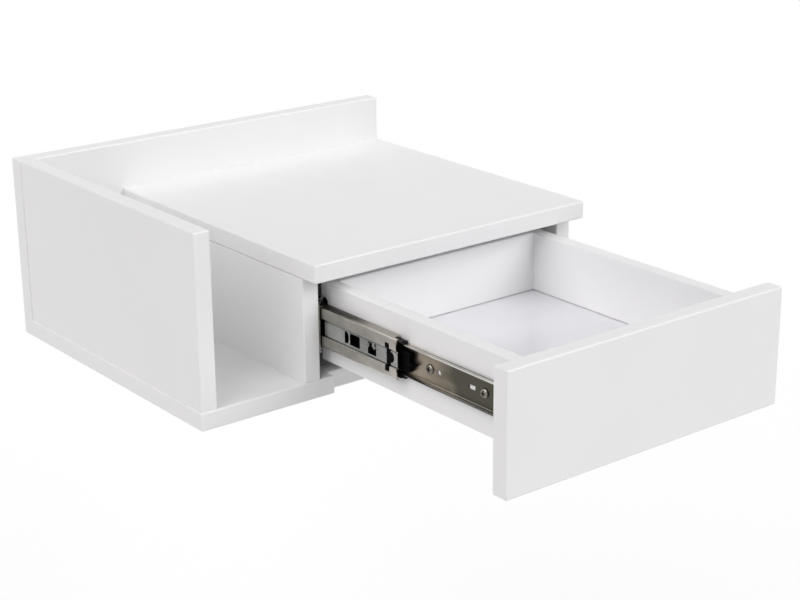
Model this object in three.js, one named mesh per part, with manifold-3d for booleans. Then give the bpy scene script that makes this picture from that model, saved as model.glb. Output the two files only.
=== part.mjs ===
// A wall-hung nightstand in millimetres: a carcass of white boards with an open slot at
// its left and one drawer, which runs on two ball bearing slides and stands open at rest.
//
// Every piece is drawn with the drawer closed, from the lower left front corner of the
// carcass: x to the right, y towards the wall, z up. Groups then draw the moving pieces
// out, and the whole is moved so that the origin is the middle of the face at the wall.

import * as THREE from 'three';
import { RoundedBoxGeometry } from 'three/addons/geometries/RoundedBoxGeometry.js';
import { mergeVertices } from 'three/addons/utils/BufferGeometryUtils.js';
import Module from 'manifold-3d';

// Carcass
const cabinetWidth = 400;
const cabinetHeight = 166;
const carcassDepth = 304;
const boardThickness = 16;
const shelfHeight = 123;
const slotWidth = 86;
const edgeRadius = 1;
const gripInset = 14;
const gripDepth = 10;
const wallHoleDiameter = 7;
const wallHoleInset = 32;
const wallHoleDrop = 22;

// Drawer
const closedGap = 1;
const frontReveal = 1;
const frontTopGap = 4.5;
const drawerBoardThickness = 12;
const drawerHeadroom = 10.5;
const floorThickness = 3;
const floorRise = 12.5;
const floorEndGap = 0.3;
const grooveDepth = 5;
const grooveSeat = 0.2;
const grooveGap = 0.7;

// Slides
const rearSpace = 38;
const openingLeft = 17;
const slideWidth = 12.7;
const slideHeight = 45;
const steel = 1.2;
const bend = 1.6;
const memberSetback = 1.5;
const cabinetMemberReach = 9.5;
const middleShorter = 12;
const middleBackGap = 1.3;
const middleTravelShare = 0.43;
const webInset = 1.7;
const webHalfHeight = 7.2;
const webStep = 0.8;
const drawerMemberShorter = 4;
const drawerMemberReach = 5.2;

// Balls and their cages
const outerBall = 3.2;
const innerBall = 2.2;
const raceClearance = 0.3;
const ballsInRow = 5;
const cageLength = 100;
const cageSheet = 0.4;
const cageGap = 0.2;
const railThickness = 0.9;
const railTip = 2.6;
const cageBar = 5;
const outerCageStart = 62;
const innerCageStart = 63.8;
const innerCageGap = 0.4;

// Windows and clip of the middle member, from its front end
const windowHalfHeight = 5;
const squareWindowStart = 49.2;
const squareWindowLength = 13.2;
const roundWindowGap = 1.6;
const roundWindowLength = 5.6;
const smallWindowStart = 27.5;
const smallWindowLength = 10.8;
const clipStart = 8.8;
const clipWidth = 4.9;
const clipHalfHeight = 11.7;
const clipBoss = 8.6;
const clipRecess = 1.3;
const clipClearance = 0.3;

// Holes and lever of the drawer member, from its front end
const frontScrewPlace = 36.7;
const rearScrewPlace = 101.5;
const roundHolePlace = 90.9;
const roundHoleDiameter = 4.4;
const oblongHolePlace = 47.7;
const oblongHoleLength = 7.6;
const oblongHoleHeight = 4;
const leverStart = 116.4;
const leverTipLength = 5;
const leverTipTop = 0.3;
const leverTipBottom = -3.2;
const leverBlockLength = 26;
const leverBlockHeight = 17;
const leverToe = 7;
const leverArmLength = 46;
const leverArmHeight = 8;
const leverThickness = 4.4;
const leverPin = 4;
const leverGap = 0.35;

// Screws and dowels
const fitClearance = 0.15;
const boardScrewShank = 5;
const boardScrewHead = 9.4;
const boardScrewHeadHeight = 3.4;
const boardScrewLength = 50;
const sideScrewShank = 3.5;
const sideScrewHead = 7.4;
const sideScrewHeadHeight = 2.6;
const sideScrewLength = 32;
const slideScrewShank = 3.5;
const slideScrewHead = 8.4;
const slideScrewHeadHeight = 1.9;
const slideScrewCover = 2.2;
const cabinetScrewPlace = 36;
const cabinetScrewPitch = 160;
const uprightScrewInset = 45;
const shelfScrewInset = 60;
const dowelChamfer = 0.8;
const boardDowel = 8;
const boardDowelLength = 30;
const boardDowelSeat = 10;
const drawerDowel = 6;
const drawerDowelLength = 26;
const drawerDowelSeat = 9;

// Heights of fasteners, as shares of the board that they enter
const leftScrewShares = { lower: 0.36, upper: 0.8 };
const uprightScrewShare = 0.6;
const sideScrewShares = { lower: 0.42, upper: 0.757 };
const drawerDowelShares = { lower: 0.42, upper: 0.86 };

// Steps of round shapes, and what cutters run past a face
const roundSteps = 14;
const ballSteps = 8;
const ballRings = 4;
const overrun = 2;

// Sizes that follow
const cellLeft = 2 * boardThickness + slotWidth;
const cellRight = cabinetWidth - boardThickness;
const shelfUnderside = shelfHeight - boardThickness;
const uprightHeight = shelfUnderside - boardThickness;
const leftSideHeight = cabinetHeight - boardThickness;
const boxDepth = carcassDepth - boardThickness;
const dividerLeft = cellLeft - boardThickness;
const shelfOverhang = boardThickness + closedGap;

const drawerLeft = cellLeft + slideWidth;
const drawerRight = cellRight - slideWidth;
const drawerInnerLeft = drawerLeft + drawerBoardThickness;
const drawerInnerRight = drawerRight - drawerBoardThickness;
const drawerSideBottom = boardThickness + drawerHeadroom;
const drawerSideHeight = uprightHeight - 2 * drawerHeadroom;
const slideLength = boxDepth - rearSpace;
const fullOpening = slideLength;
const restOpening = fullOpening - openingLeft;
const floorBottom = drawerSideBottom + floorRise;

const slideCentre = drawerSideBottom + drawerSideHeight / 2;
const middleHeight = slideHeight - 2 * (steel + outerBall + 2 * raceClearance);
const innerHeight = middleHeight - 2 * (steel + innerBall + 2 * raceClearance);
const bandSet = steel + cageSheet + 2 * cageGap;
const webSet = bandSet + webInset;
const middleLength = slideLength - middleShorter;
const middleReach = slideWidth - middleBackGap;
const drawerMemberLength = slideLength - drawerMemberShorter;
const drawerWebSet = slideWidth - steel;

// Looks
const lacquer = new THREE.MeshStandardMaterial({ color: 0xe9e9eb, roughness: 0.42, metalness: 0 });
const floorSheet = new THREE.MeshStandardMaterial({ color: 0xe4e5ec, roughness: 0.3, metalness: 0 });
const zinc = new THREE.MeshStandardMaterial({ color: 0x8f8a80, roughness: 0.32, metalness: 1 });
const brightZinc = new THREE.MeshStandardMaterial({ color: 0xb5b0a4, roughness: 0.26, metalness: 1 });
const blackPlastic = new THREE.MeshStandardMaterial({ color: 0x161616, roughness: 0.5, metalness: 0 });
const blackSteel = new THREE.MeshStandardMaterial({ color: 0x2b2a29, roughness: 0.4, metalness: 1 });
const beech = new THREE.MeshStandardMaterial({ color: 0xc9a678, roughness: 0.7, metalness: 0 });

const upright = new THREE.Vector3(0, 1, 0);

const wasm = await Module();
wasm.setup();

// A closed geometry as a solid that can be joined and cut
function solidOf(geometry) {
  const bare = geometry.clone();
  bare.deleteAttribute('normal');
  bare.deleteAttribute('uv');
  const merged = mergeVertices(bare);
  const corners = merged.index.array;
  const kept = [];
  for (let i = 0; i < corners.length; i += 3) {
    const [a, b, c] = [corners[i], corners[i + 1], corners[i + 2]];
    if (a !== b && b !== c && c !== a) kept.push(a, b, c);
  }
  const vertProperties = new Float32Array(merged.attributes.position.array);
  return new wasm.Manifold(new wasm.Mesh({ numProp: 3, vertProperties, triVerts: new Uint32Array(kept) }));
}

function geometryOf(solid) {
  const { vertProperties, triVerts } = solid.getMesh();
  const geometry = new THREE.BufferGeometry();
  geometry.setAttribute('position', new THREE.BufferAttribute(new Float32Array(vertProperties), 3));
  geometry.setIndex(new THREE.BufferAttribute(new Uint32Array(triVerts), 1));
  const faceted = geometry.toNonIndexed();
  faceted.computeVertexNormals();
  return faceted;
}

// A plain block from its lowest corner
function block([x, y, z], [width, depth, height]) {
  const geometry = new THREE.BoxGeometry(width, depth, height);
  geometry.translate(x + width / 2, y + depth / 2, z + height / 2);
  return solidOf(geometry);
}

// A board is a block whose edges are eased
function board([x, y, z], [width, depth, height]) {
  const geometry = new RoundedBoxGeometry(width, depth, height, 1, edgeRadius);
  geometry.translate(x + width / 2, y + depth / 2, z + height / 2);
  return solidOf(geometry);
}

// A section of (x, z) points drawn out along y
function drawnAlongY(points, start, length) {
  const shape = new THREE.Shape(points.map(([x, z]) => new THREE.Vector2(x, z)));
  const geometry = new THREE.ExtrudeGeometry(shape, { depth: length, bevelEnabled: false });
  geometry.rotateX(Math.PI / 2);
  geometry.translate(0, start + length, 0);
  return solidOf(geometry);
}

// A flat outline of (y, z) points drawn out along x
function drawnAlongX(points, start, length) {
  const shape = new THREE.Shape(points.map(([y, z]) => new THREE.Vector2(y, z)));
  const geometry = new THREE.ExtrudeGeometry(shape, { depth: length, bevelEnabled: false });
  geometry.rotateX(Math.PI / 2);
  geometry.rotateZ(Math.PI / 2);
  geometry.translate(start, 0, 0);
  return solidOf(geometry);
}

// The outline of a sheet that follows a line of points, with mitred corners
function sheetOutline(line, thickness) {
  const at = line.map(([a, b]) => new THREE.Vector2(a, b));
  const steps = at.slice(1).map((point, i) => point.clone().sub(at[i]).normalize());
  const offsets = at.map((point, i) => {
    const before = steps[Math.max(i - 1, 0)];
    const after = steps[Math.min(i, steps.length - 1)];
    const normal = new THREE.Vector2(-before.y - after.y, before.x + after.x);
    return normal.multiplyScalar(thickness / 2 / (1 + before.dot(after)));
  });
  const left = at.map((point, i) => point.clone().add(offsets[i]));
  const right = at.map((point, i) => point.clone().sub(offsets[i]));
  return [...right, ...left.reverse()].map((point) => [point.x, point.y]);
}

// A section's upper half and its mirror image as one line
function bothHalves(upper) {
  return [...upper.slice(1).reverse().map(([x, z]) => [x, -z]), ...upper];
}

// What stands upright along y at the origin, laid along another direction at a place
function pointed(geometry, place, outward) {
  const along = new THREE.Vector3(...outward);
  geometry.applyQuaternion(new THREE.Quaternion().setFromUnitVectors(upright, along));
  geometry.translate(...place);
  return solidOf(geometry);
}

// A profile of (radius, height) points turned round an axis
function lathed(profile, place, outward) {
  const points = profile.map(([radius, height]) => new THREE.Vector2(radius, height));
  return pointed(new THREE.LatheGeometry(points, roundSteps), place, outward);
}

// A round bar or bore, from a place along a direction
function bar(diameter, length, place, outward) {
  return lathed([[0, 0], [diameter / 2, 0], [diameter / 2, length], [0, length]], place, outward);
}

// Screws: the head's seat is at height zero, and a cross recess is cut in the head
const boardScrew = {
  shank: boardScrewShank / 2,
  head: boardScrewHead / 2,
  headHeight: boardScrewHeadHeight,
  length: boardScrewLength,
};
const sideScrew = {
  shank: sideScrewShank / 2,
  head: sideScrewHead / 2,
  headHeight: sideScrewHeadHeight,
  length: sideScrewLength,
};
const slideScrew = {
  shank: slideScrewShank / 2,
  head: slideScrewHead / 2,
  headHeight: slideScrewHeadHeight,
  length: steel + drawerBoardThickness - slideScrewCover,
  pan: true,
};
const rimShare = 0.15;
const crownShares = { height: 0.55, radius: 0.62 };
const recessShares = { width: 0.2, length: 1.15, depth: 0.6 };

function screw(kind, place, outward) {
  const { shank, head, headHeight, length, pan } = kind;
  const [waist, crown] = [headHeight * crownShares.height, head * crownShares.radius];
  const flatTop = [[shank, -headHeight], [head, -headHeight * rimShare], [head, 0], [0, 0]];
  const panTop = [[shank, 0], [head, 0], [head, waist], [crown, headHeight], [0, headHeight]];
  const profile = [[0, -length], [shank, shank - length], ...(pan ? panTop : flatTop)];
  const recess = [recessShares.width * head, recessShares.length * head];
  const deep = recessShares.depth * headHeight;
  const bottom = (pan ? headHeight : 0) - deep;
  const arm = (across, along) => block([-across / 2, bottom, -along / 2], [across, deep + overrun, along]);
  const body = lathed(profile, [0, 0, 0], [0, 1, 0]);
  const crossed = body.subtract(arm(...recess)).subtract(arm(...recess.reverse()));
  return pointed(geometryOf(crossed), place, outward);
}

// What a screw's hole takes out: its own shape and the fit all round
function screwHole({ shank, head, headHeight, length, pan }, place, outward) {
  const wide = shank + fitClearance;
  const headWide = head + fitClearance;
  const countersink = [[wide, -headHeight], [headWide, -headHeight * rimShare], [headWide, overrun]];
  const top = pan ? [[wide, overrun]] : countersink;
  const profile = [[0, -length - fitClearance], [wide, shank - length], ...top, [0, overrun]];
  return lathed(profile, place, outward);
}

// A dowel lies evenly about its place, along the given direction
function dowel(diameter, length, place, along, fit) {
  const [radius, half, chamfer] = [diameter / 2 + fit, length / 2 + fit, dowelChamfer];
  const upper = [[radius, half - chamfer], [radius - chamfer, half], [0, half]];
  const profile = [[0, -half], [radius - chamfer, -half], [radius, chamfer - half], ...upper];
  return lathed(profile, place, along);
}

// The pieces, each with its solid and its looks, by name
const pieces = {};

function piece(name, solid, material) {
  pieces[name] = { solid, material };
}

function cut(names, tool) {
  for (const name of names) pieces[name].solid = pieces[name].solid.subtract(tool);
}

function drive(name, kind, place, outward, through, material) {
  cut(through, screwHole(kind, place, outward));
  piece(name, screw(kind, place, outward), material);
}

function pin(name, diameter, length, place, along, through) {
  cut(through, dowel(diameter, length, place, along, fitClearance));
  piece(name, dowel(diameter, length, place, along, 0), beech);
}

// Boards of the carcass
function bottomPanel() {
  const [width, depth] = [cabinetWidth, boxDepth];
  const [gripLeft, gripRight] = [cellLeft + gripInset, cellRight - gripInset];
  const outline = [
    [0, 0], [gripLeft, 0], [gripLeft, gripDepth], [gripRight, gripDepth],
    [gripRight, 0], [width, 0], [width, depth], [0, depth],
  ];
  const shape = new THREE.Shape(outline.map(([x, y]) => new THREE.Vector2(x, y)));
  const geometry = new THREE.ExtrudeGeometry(shape, {
    depth: boardThickness - 2 * edgeRadius,
    bevelThickness: edgeRadius,
    bevelSize: edgeRadius,
    bevelOffset: -edgeRadius,
    bevelSegments: 1,
  });
  geometry.translate(0, 0, edgeRadius);
  return solidOf(geometry);
}

const leftSideSize = [boardThickness, boxDepth, leftSideHeight];
const uprightSize = [boardThickness, boxDepth, uprightHeight];
const shelfSize = [cabinetWidth - dividerLeft, boxDepth + shelfOverhang, boardThickness];
const backSize = [cabinetWidth, boardThickness, cabinetHeight];
piece('bottom_panel', bottomPanel(), lacquer);
piece('left_side_panel', board([0, 0, boardThickness], leftSideSize), lacquer);
piece('divider_panel', board([dividerLeft, 0, boardThickness], uprightSize), lacquer);
piece('right_side_panel', board([cellRight, 0, boardThickness], uprightSize), lacquer);
piece('shelf_top', board([dividerLeft, -shelfOverhang, shelfUnderside], shelfSize), lacquer);
piece('back_panel', board([0, boxDepth, 0], backSize), lacquer);

// Two holes in the back panel, behind the drawer, for the screws into the wall
for (const x of [cellLeft + wallHoleInset, cellRight - wallHoleInset]) {
  const place = [x, boxDepth - overrun, shelfUnderside - wallHoleDrop];
  cut(['back_panel'], bar(wallHoleDiameter, boardThickness + 2 * overrun, place, [0, 1, 0]));
}

// Screws up through the bottom panel, and dowels under the shelf
const uprights = {
  left_side: boardThickness / 2,
  divider: dividerLeft + boardThickness / 2,
  right_side: cellRight + boardThickness / 2,
};
const uprightPlaces = { front: uprightScrewInset, rear: boxDepth - uprightScrewInset };
const dowelMiddle = shelfUnderside + boardDowelSeat - boardDowelLength / 2;
for (const [name, x] of Object.entries(uprights)) {
  const panel = `${name}_panel`;
  for (const [end, y] of Object.entries(uprightPlaces)) {
    const screwName = `${name}_bottom_screw_${end}`;
    drive(screwName, boardScrew, [x, y, 0], [0, 0, -1], ['bottom_panel', panel], brightZinc);
    if (panel !== 'left_side_panel') {
      const dowelName = `${name}_shelf_dowel_${end}`;
      pin(dowelName, boardDowel, boardDowelLength, [x, y, dowelMiddle], [0, 0, 1], [panel, 'shelf_top']);
    }
  }
}

// Screws through the back panel into the boards that end at it
const uprightScrewHeight = boardThickness + uprightHeight * uprightScrewShare;
const lowScrewHeight = boardThickness + leftSideHeight * leftScrewShares.lower;
const highScrewHeight = boardThickness + leftSideHeight * leftScrewShares.upper;
const shelfMiddle = shelfHeight - boardThickness / 2;
const backScrews = {
  left_side_back_screw_lower: [uprights.left_side, lowScrewHeight, 'left_side_panel'],
  left_side_back_screw_upper: [uprights.left_side, highScrewHeight, 'left_side_panel'],
  divider_back_screw: [uprights.divider, uprightScrewHeight, 'divider_panel'],
  right_side_back_screw: [uprights.right_side, uprightScrewHeight, 'right_side_panel'],
  shelf_back_screw_left: [dividerLeft + shelfScrewInset, shelfMiddle, 'shelf_top'],
  shelf_back_screw_right: [cabinetWidth - shelfScrewInset, shelfMiddle, 'shelf_top'],
  bottom_back_screw: [cabinetWidth / 2, boardThickness / 2, 'bottom_panel'],
};
for (const [name, [x, z, target]] of Object.entries(backScrews)) {
  drive(name, boardScrew, [x, carcassDepth, z], [0, 1, 0], ['back_panel', target], brightZinc);
}

// Boards of the drawer
const drawerEnd = slideLength - closedGap;
const sideSize = [drawerBoardThickness, slideLength, drawerSideHeight];
const frontLeft = dividerLeft + frontReveal;
const frontSize = [cabinetWidth - frontReveal - frontLeft, boardThickness, shelfUnderside - frontTopGap];
const drawerBackSize = [drawerInnerRight - drawerInnerLeft, drawerBoardThickness, drawerSideHeight];
const drawerBackPlace = [drawerInnerLeft, drawerEnd - drawerBoardThickness, drawerSideBottom];
piece('drawer_front', board([frontLeft, -boardThickness - closedGap, 0], frontSize), lacquer);
piece('drawer_left_side', board([drawerLeft, -closedGap, drawerSideBottom], sideSize), lacquer);
piece('drawer_right_side', board([drawerInnerRight, -closedGap, drawerSideBottom], sideSize), lacquer);
piece('drawer_back', board(drawerBackPlace, drawerBackSize), lacquer);

// The floor sheet slides in a groove that runs round the four boards
const grooveLeft = drawerInnerLeft - grooveDepth;
const grooveFront = -closedGap - grooveDepth;
const grooveWidth = drawerInnerRight + grooveDepth - grooveLeft;
const grooveLength = drawerEnd - drawerBoardThickness + grooveDepth - grooveFront;
cut(
  ['drawer_front', 'drawer_left_side', 'drawer_right_side', 'drawer_back'],
  block(
    [grooveLeft, grooveFront, floorBottom - grooveSeat],
    [grooveWidth, grooveLength, floorThickness + grooveSeat + grooveGap],
  ),
);
piece(
  'drawer_floor',
  block(
    [grooveLeft + floorEndGap, grooveFront + floorEndGap, floorBottom],
    [grooveWidth - 2 * floorEndGap, grooveLength - 2 * floorEndGap, floorThickness],
  ),
  floorSheet,
);

// Screws and dowels of the drawer
const drawerSides = {
  left: { face: drawerLeft, middle: drawerLeft + drawerBoardThickness / 2, outward: [-1, 0, 0] },
  right: { face: drawerRight, middle: drawerRight - drawerBoardThickness / 2, outward: [1, 0, 0] },
};
for (const [side, { face, middle, outward }] of Object.entries(drawerSides)) {
  const sideBoard = `drawer_${side}_side`;
  const dowelPlace = drawerDowelLength / 2 - drawerDowelSeat - closedGap;
  for (const level of ['lower', 'upper']) {
    const screwHeight = drawerSideBottom + drawerSideHeight * sideScrewShares[level];
    const screwPlace = [face, drawerEnd - drawerBoardThickness / 2, screwHeight];
    const screwName = `drawer_back_screw_${side}_${level}`;
    drive(screwName, sideScrew, screwPlace, outward, [sideBoard, 'drawer_back'], blackSteel);
    const place = [middle, dowelPlace, drawerSideBottom + drawerSideHeight * drawerDowelShares[level]];
    const dowelName = `drawer_front_dowel_${side}_${level}`;
    pin(dowelName, drawerDowel, drawerDowelLength, place, [0, 1, 0], [sideBoard, 'drawer_front']);
  }
}

// A slide in its own place: x from the cabinet wall to the drawer, z from its middle line.
// The same slide serves both sides: turned over about y, it is the right one.
const cabinetLine = slideHeight / 2 - steel / 2;
const middleLine = middleHeight / 2 - steel / 2;
const innerLine = innerHeight / 2 - steel / 2;
const memberLines = {
  cabinet: [
    [steel / 2, 0],
    [steel / 2, cabinetLine - bend],
    [steel / 2 + bend, cabinetLine],
    [cabinetMemberReach, cabinetLine],
  ],
  middle: [
    [webSet + steel / 2, 0],
    [webSet + steel / 2, webHalfHeight],
    [bandSet + steel / 2, webHalfHeight + webStep],
    [bandSet + steel / 2, middleLine - bend],
    [bandSet + steel / 2 + bend, middleLine],
    [middleReach, middleLine],
  ],
  drawer: [
    [slideWidth - steel / 2, 0],
    [slideWidth - steel / 2, innerLine - bend],
    [slideWidth - steel / 2 - bend, innerLine],
    [slideWidth - drawerMemberReach, innerLine],
  ],
};

function member(line, length) {
  return drawnAlongY(sheetOutline(bothHalves(line), steel), memberSetback, length);
}

// The outline of a window whose front end is half of an ellipse
function bowedOutline(start, length, half) {
  const middle = start + length / 2;
  const outline = [[start + length, -half], [start + length, half]];
  for (let i = 0; i <= roundSteps / 2; i += 1) {
    const angle = (2 * Math.PI * i) / roundSteps;
    outline.push([middle - (length / 2) * Math.sin(angle), half * Math.cos(angle)]);
  }
  return outline;
}

// The stop clip is a bar across the channel with a round boss on its front edge, grown by a gap
function clipShape(start, length, gap) {
  const front = memberSetback + clipStart;
  const half = clipHalfHeight + gap;
  const crossbar = block([start, front - gap, -half], [length, clipWidth + 2 * gap, 2 * half]);
  return crossbar.add(bar(clipBoss + 2 * gap, length, [start, front, 0], [1, 0, 0]));
}

// Its ends lie level with the bands, and its middle is set back as the web is
function stopClip() {
  const recess = block(
    [bandSet - overrun, memberSetback, -webHalfHeight],
    [clipRecess + overrun, clipStart + clipWidth + overrun, 2 * webHalfHeight],
  );
  return clipShape(bandSet, webInset + steel, 0).subtract(recess);
}

function middleMember() {
  const through = steel + webInset + 2 * overrun;
  const start = bandSet - overrun;
  const end = memberSetback;
  const roundWindowStart = squareWindowStart + squareWindowLength + roundWindowGap;
  const square = (place, length) => block(
    [start, end + place, -windowHalfHeight],
    [through, length, 2 * windowHalfHeight],
  );
  const bowed = bowedOutline(end + roundWindowStart, roundWindowLength, windowHalfHeight);
  return member(memberLines.middle, middleLength)
    .subtract(square(squareWindowStart, squareWindowLength))
    .subtract(square(smallWindowStart, smallWindowLength))
    .subtract(drawnAlongX(bowed, start, through))
    .subtract(clipShape(start, through, clipClearance));
}

// The lever turns on a pin that stands on the drawer member
const leverPivotPlace = memberSetback + leverStart + leverTipLength + leverArmLength;
const leverFrom = drawerWebSet - leverGap - leverThickness;

function leverSolid() {
  const tip = memberSetback + leverStart;
  const front = tip + leverTipLength;
  const rear = front + leverBlockLength;
  const [top, arm] = [leverBlockHeight / 2, leverArmHeight / 2];
  const outline = [
    [tip, (leverTipTop + leverTipBottom) / 2],
    [front, leverTipBottom],
    [front + leverToe, -top],
    [rear, -top],
    [rear + leverToe, -arm],
    [leverPivotPlace, -arm],
    [leverPivotPlace, arm],
    [rear + leverToe, arm],
    [rear, top],
    [front, top],
    [front, leverTipTop],
  ];
  const round = bar(leverArmHeight, leverThickness, [leverFrom, leverPivotPlace, 0], [1, 0, 0]);
  const holePlace = [leverFrom - overrun, leverPivotPlace, 0];
  const hole = bar(leverPin + 2 * fitClearance, leverThickness + 2 * overrun, holePlace, [1, 0, 0]);
  return drawnAlongX(outline, leverFrom, leverThickness).add(round).subtract(hole);
}

function drawerMember() {
  const [start, through] = [drawerWebSet - overrun, steel + 2 * overrun];
  const pinLength = drawerWebSet + steel / 2 - leverFrom;
  const pivot = bar(leverPin, pinLength, [leverFrom, leverPivotPlace, 0], [1, 0, 0]);
  const holePlace = [start, memberSetback + roundHolePlace, 0];
  const oblong = block(
    [start, memberSetback + oblongHolePlace, -oblongHoleHeight / 2],
    [through, oblongHoleLength, oblongHoleHeight],
  );
  return member(memberLines.drawer, drawerMemberLength)
    .subtract(bar(roundHoleDiameter, through, holePlace, [1, 0, 0]))
    .subtract(oblong)
    .add(pivot);
}

// A cage: two rails with their balls, joined by a bar at the rear end
function cage(start, from, ball, ballPlace, railHeight) {
  const half = railThickness / 2;
  const rail = [ballPlace + railTip - from, cageLength, railThickness];
  const upperRail = block([from, start, railHeight - half], rail);
  const lowerRail = block([from, start, -railHeight - half], rail);
  const rearBar = block(
    [from, start + cageLength - cageBar, -railHeight - half],
    [cageSheet, cageBar, 2 * (railHeight + half)],
  );
  let made = rearBar.add(upperRail).add(lowerRail);
  const margin = cageBar + ball;
  for (let i = 0; i < ballsInRow; i += 1) {
    const y = start + margin + ((cageLength - 2 * margin) * i) / (ballsInRow - 1);
    for (const z of [railHeight, -railHeight]) {
      const round = new THREE.SphereGeometry(ball / 2, ballSteps, ballRings);
      round.translate(ballPlace, y, z);
      made = made.add(solidOf(round));
    }
  }
  return made;
}

const outerRailHeight = middleHeight / 2 + raceClearance + outerBall / 2;
const innerRailHeight = innerHeight / 2 + raceClearance + innerBall / 2;
const outerBallPlace = (bandSet + cabinetMemberReach) / 2;
const innerBallPlace = (slideWidth - drawerMemberReach + drawerWebSet) / 2;
const outerCageFrom = steel + cageGap;
const innerCageFrom = webSet + steel + innerCageGap;

const outerCage = cage(outerCageStart, outerCageFrom, outerBall, outerBallPlace, outerRailHeight);
const innerCage = cage(innerCageStart, innerCageFrom, innerBall, innerBallPlace, innerRailHeight);

const slidePieces = {
  cabinet_member: [member(memberLines.cabinet, slideLength), zinc],
  outer_ball_cage: [outerCage, blackSteel],
  middle_member: [middleMember(), zinc],
  stop_clip: [stopClip(), blackPlastic],
  inner_ball_cage: [innerCage, blackSteel],
  drawer_member: [drawerMember(), zinc],
  release_lever: [leverSolid(), blackPlastic],
};

// Screws of a slide, into the cabinet wall and into the drawer side
const intoWall = { web: steel, outward: [1, 0, 0], holds: 'cabinet_member' };
const intoDrawer = { web: drawerWebSet, outward: [-1, 0, 0], holds: 'drawer_member' };
const slideScrews = {
  cabinet_screw_front: { y: cabinetScrewPlace, ...intoWall },
  cabinet_screw_rear: { y: cabinetScrewPlace + cabinetScrewPitch, ...intoWall },
  drawer_screw_front: { y: memberSetback + frontScrewPlace, ...intoDrawer },
  drawer_screw_rear: { y: memberSetback + rearScrewPlace, ...intoDrawer },
};
for (const [name, { web, y, outward, holds }] of Object.entries(slideScrews)) {
  const place = [web, y, 0];
  slidePieces[holds][0] = slidePieces[holds][0].subtract(screwHole(slideScrew, place, outward));
  slidePieces[name] = [screw(slideScrew, place, outward), brightZinc];
}

// How far each piece of a slide has come out when the drawer stands open at rest
const middleOut = restOpening * middleTravelShare;
const travel = {
  cabinet_member: 0,
  cabinet_screw_front: 0,
  cabinet_screw_rear: 0,
  outer_ball_cage: middleOut / 2,
  middle_member: middleOut,
  stop_clip: middleOut,
  inner_ball_cage: (middleOut + restOpening) / 2,
};

const nightstand = new THREE.Group();
nightstand.position.set(-cabinetWidth / 2, -carcassDepth, -cabinetHeight / 2);

// Both slides, and the screw holes that they need in the boards
const sides = {
  left: { wall: cellLeft, turn: 1, cabinet: 'divider_panel', drawer: 'drawer_left_side' },
  right: { wall: cellRight, turn: -1, cabinet: 'right_side_panel', drawer: 'drawer_right_side' },
};
for (const [side, { wall, turn, cabinet, drawer }] of Object.entries(sides)) {
  const slide = new THREE.Group();
  slide.position.set(wall, 0, slideCentre);
  slide.scale.set(turn, 1, turn);
  nightstand.add(slide);
  for (const [name, [solid, material]] of Object.entries(slidePieces)) {
    const mesh = new THREE.Mesh(geometryOf(solid), material);
    mesh.name = `${side}_${name}`;
    mesh.position.y = -(travel[name] ?? restOpening);
    slide.add(mesh);
  }
  for (const { web, y, outward, holds } of Object.values(slideScrews)) {
    const place = [wall + turn * web, y, slideCentre];
    const target = holds === 'cabinet_member' ? cabinet : drawer;
    cut([target], screwHole(slideScrew, place, [turn * outward[0], 0, 0]));
  }
}

// The boards and their fasteners: those of the drawer have come out with it
for (const [name, { solid, material }] of Object.entries(pieces)) {
  const mesh = new THREE.Mesh(geometryOf(solid), material);
  mesh.name = name;
  if (name.startsWith('drawer_')) mesh.position.y = -restOpening;
  nightstand.add(mesh);
}

const part = new THREE.Group();
part.add(nightstand);

export default part;
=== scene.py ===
# %% [markdown]
# # A wall-hung nightstand, standing open
# This lesson dresses a small white bedside cabinet. It hangs on the wall, has an open
# slot for magazines at its left, and one drawer that stands open on steel slides. The
# plain solids come in as a frame: they say where everything lies and what moves. Each
# visible piece is then modelled again with the detail that the eye expects, and takes
# the plain solid's place. Units are metres, +Y points into the wall and +Z is up.

# %% Load the frame
import math

import bpy
from mathutils import Euler, Matrix, Vector


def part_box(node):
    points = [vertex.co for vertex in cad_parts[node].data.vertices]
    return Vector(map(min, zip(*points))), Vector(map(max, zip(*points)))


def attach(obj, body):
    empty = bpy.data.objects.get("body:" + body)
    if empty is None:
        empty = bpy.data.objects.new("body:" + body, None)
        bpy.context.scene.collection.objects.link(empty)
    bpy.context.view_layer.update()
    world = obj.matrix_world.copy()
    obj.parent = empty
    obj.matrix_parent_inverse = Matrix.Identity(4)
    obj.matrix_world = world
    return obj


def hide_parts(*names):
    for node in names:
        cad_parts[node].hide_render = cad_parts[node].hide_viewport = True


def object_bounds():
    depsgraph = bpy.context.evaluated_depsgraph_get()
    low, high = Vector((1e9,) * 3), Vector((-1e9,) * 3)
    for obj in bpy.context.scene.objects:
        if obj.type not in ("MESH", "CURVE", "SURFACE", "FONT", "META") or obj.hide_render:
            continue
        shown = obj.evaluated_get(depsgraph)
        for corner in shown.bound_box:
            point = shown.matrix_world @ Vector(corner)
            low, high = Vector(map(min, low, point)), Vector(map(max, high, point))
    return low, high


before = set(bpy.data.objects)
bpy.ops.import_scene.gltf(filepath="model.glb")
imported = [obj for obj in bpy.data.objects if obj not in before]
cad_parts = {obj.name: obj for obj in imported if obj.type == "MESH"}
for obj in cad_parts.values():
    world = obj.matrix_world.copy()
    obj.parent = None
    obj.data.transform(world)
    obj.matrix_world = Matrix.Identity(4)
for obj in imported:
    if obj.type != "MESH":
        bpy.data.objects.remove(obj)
plain_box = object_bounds()
mm = 0.001

# %% [markdown]
# ## The camera
# The picture was taken from the left and a little above, from nearly two metres away
# with a long lens, so the boards run almost parallel. A camera that is turned in three
# plain angles is easy to adjust: yaw about the vertical, pitch downwards, and a touch
# of roll. It has no shift and no blur, so every other view uses it as it is.

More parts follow.
